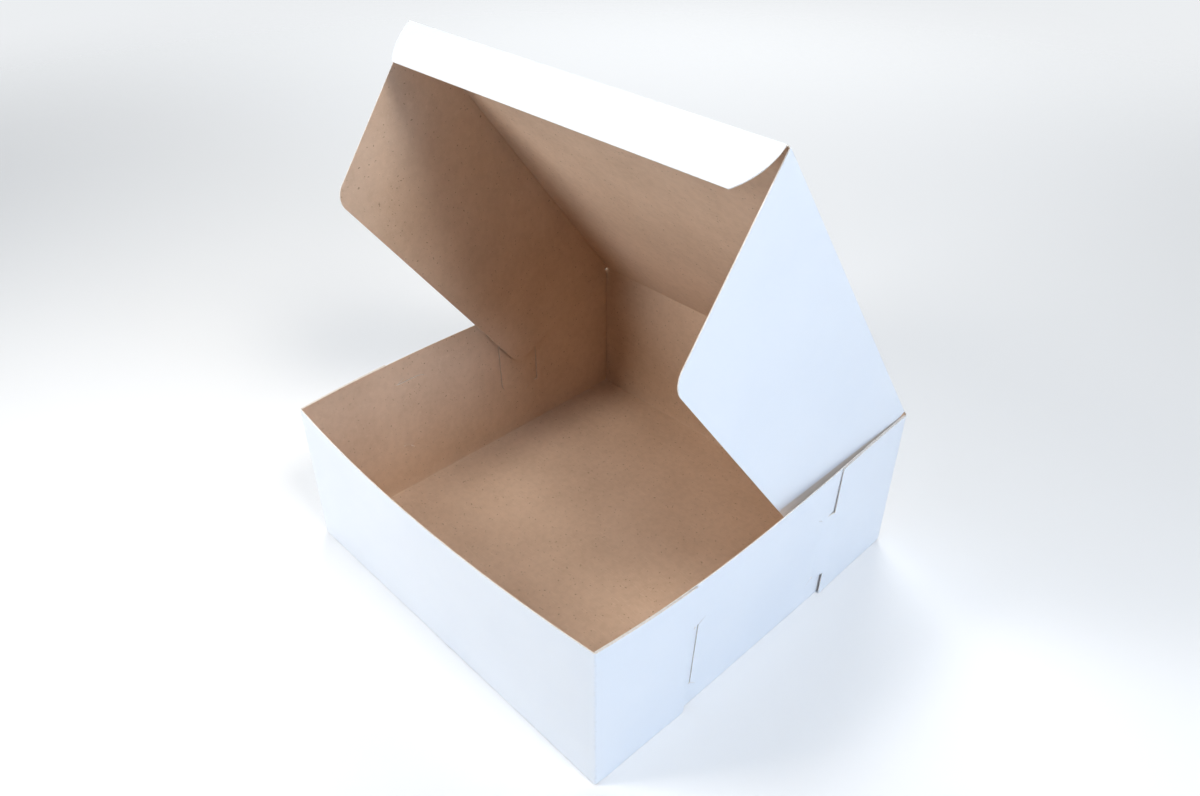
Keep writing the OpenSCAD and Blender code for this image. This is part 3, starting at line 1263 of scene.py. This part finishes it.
    def hinge_crease(self) -> None:
        """Makes the fold between the back wall and the lid."""
        fold = Vector((0, self.hinge_y, self.hinge_z))
        path = bezier(fold - UP * self.edge, fold, self.stand @ (DEEP * -self.edge))
        crease = Crease("hinge_crease", "tray", "lid", path, ACROSS * -2 * self.hinge_half)
        crease.build(self.shop, Matrix.Identity(4))


@dataclass(frozen=True)
class Lamp:
    """A square soft box, turned to the object unless it has an aim. In metres and watts."""

    name: str
    place: Triple
    size: float
    power: float
    colour: Colour
    aim: Triple = (0.02, -0.02, 0.13)


@dataclass(frozen=True)
class Studio:
    """Camera, floor, backdrop and lights. Lengths in metres, angles in degrees.

    The lens and the sensor are in millimetres, as on a camera.
    """

    azimuth: float = 46.05
    elevation: float = 35.66
    distance: float = 528.7 * MM
    target: Triple = (19.24 * MM, -20.03 * MM, 130 * MM)
    lens: float = 28.87
    sensor: float = 36.0
    nearest: float = 10 * MM
    floor_half: float = 2.0
    floor_fade: tuple[float, float] = (0.8, 1.6)
    floor_tints: tuple[Colour, Colour] = ((0.90, 0.90, 0.91), (0.92, 0.92, 0.925))
    floor_roughness: float = 0.9
    room_glow: Colour = (0.74, 0.86, 1.0)
    glow_strength: float = 0.03
    backdrop: Colour = (0.84, 0.86, 0.88)
    lamps: tuple[Lamp, ...] = (
        Lamp("key", (-0.27, -0.55, 0.6), 0.2, 2.9, (1.0, 0.95, 0.88)),
        Lamp("front_low", (-0.4, -1.3, 0.25), 0.4, 3.9, (0.78, 0.88, 1.0)),
        Lamp("right", (1.35, -0.12, 0.35), 0.3, 6.0, (0.58, 0.76, 1.0)),
        Lamp("right_high", (0.55, -0.12, 0.95), 0.3, 4.9, (1.0, 0.95, 0.88)),
        Lamp("overhead", (0.4, -0.5, 1.4), 0.5, 2.8, (0.5, 0.74, 1.0)),
        Lamp("floor_wash", (-1.35, 1.6, 1.7), 1.6, 52.0, (0.97, 0.99, 1.0), (-1.2, 1.4, 0.0)),
    )

    def set_up(self) -> None:
        """Puts the camera, the floor and the lights in place."""
        bpy.context.scene.view_settings.view_transform = "Standard"
        self._camera()
        self._floor()
        self._world()
        for lamp in self.lamps:
            self._hang(lamp)

    def _camera(self) -> None:
        """Adds the camera at the photographed angle."""
        a, e = math.radians(self.azimuth), math.radians(self.elevation)
        back = Vector((math.sin(a) * math.cos(e), -math.cos(a) * math.cos(e), math.sin(e)))
        data = bpy.data.cameras.new("camera")
        data.lens = self.lens
        data.sensor_width = self.sensor
        data.clip_start = self.nearest
        camera = bpy.data.objects.new("camera", data)
        camera.location = Vector(self.target) + back * self.distance
        camera.rotation_mode = "QUATERNION"
        camera.rotation_quaternion = (-back).to_track_quat("-Z", "Y")
        bpy.context.scene.collection.objects.link(camera)
        bpy.context.scene.camera = camera

    def _floor(self) -> None:
        """Adds a plain pale floor that fades out into the backdrop."""
        bpy.ops.object.select_all(action="DESELECT")
        bpy.ops.mesh.primitive_plane_add(size=2 * self.floor_half)
        floor = bpy.context.active_object
        floor.name = "floor"
        bench = NodeBench(bpy.data.materials.new("pale_floor"))
        tint = bench.mix(bench.noise(0.8, 1.0), *self.floor_tints)
        length = bench.node("ShaderNodeVectorMath", {"operation": "LENGTH"}, {0: bench.place})
        gone = Value(bench, length.outputs["Value"]).step(*self.floor_fade)
        sockets = {"Base Color": tint, "Roughness": self.floor_roughness, "Alpha": 1 - gone}
        floor.data.materials.append(bench.surface(sockets))

    def _world(self) -> None:
        """Lights the room faintly with a cool white, in front of a pale backdrop."""
        bench = NodeBench(bpy.data.worlds.new("room"))
        bpy.context.scene.world = bench.block
        glow_sockets = {"Color": (*self.room_glow, 1.0), "Strength": self.glow_strength}
        glow = bench.node("ShaderNodeBackground", None, glow_sockets).outputs[0]
        behind = bench.node("ShaderNodeBackground", None, {"Color": (*self.backdrop, 1.0)}).outputs[0]
        seen = bench.node("ShaderNodeLightPath").outputs["Is Camera Ray"]
        room = bench.node("ShaderNodeMixShader", None, {0: seen, 1: glow, 2: behind}).outputs[0]
        bench.node("ShaderNodeOutputWorld", None, {"Surface": room})

    def _hang(self, lamp: Lamp) -> None:
        """Adds one lamp, turned to its aim.

        Args:
            lamp: The lamp.
        """
        data = bpy.data.lights.new(lamp.name, "AREA")
        data.size = lamp.size
        data.energy = lamp.power
        data.color = lamp.colour
        hung = bpy.data.objects.new(lamp.name, data)
        hung.location = lamp.place
        hung.visible_camera = False
        hung.rotation_mode = "QUATERNION"
        hung.rotation_quaternion = (Vector(lamp.aim) - Vector(lamp.place)).to_track_quat("-Z", "Y")
        bpy.context.scene.collection.objects.link(hung)


def main() -> None:
    """Builds the box piece by piece, then the studio."""
    logging.basicConfig(level=logging.INFO, format="%(name)s %(message)s")
    shop = Shop()
    shop.fit(Tray(shop).build(), "tray", "tray")
    lid = Lid(shop)
    shop.fit(lid.panel(), "lid", "lid_panel")
    shop.fit(lid.side_flap(Side.RIGHT), "right_flap", "right_side_flap")
    shop.fit(lid.side_flap(Side.LEFT), "left_flap", "left_side_flap")
    shop.fit(lid.tuck_flap(), "tuck_flap", "front_tuck_flap")
    lid.hinge_crease()
    lid.tuck_crease()
    for side in Side:
        lid.side_crease(side)
    Studio().set_up()


if __name__ == "__main__":
    main()
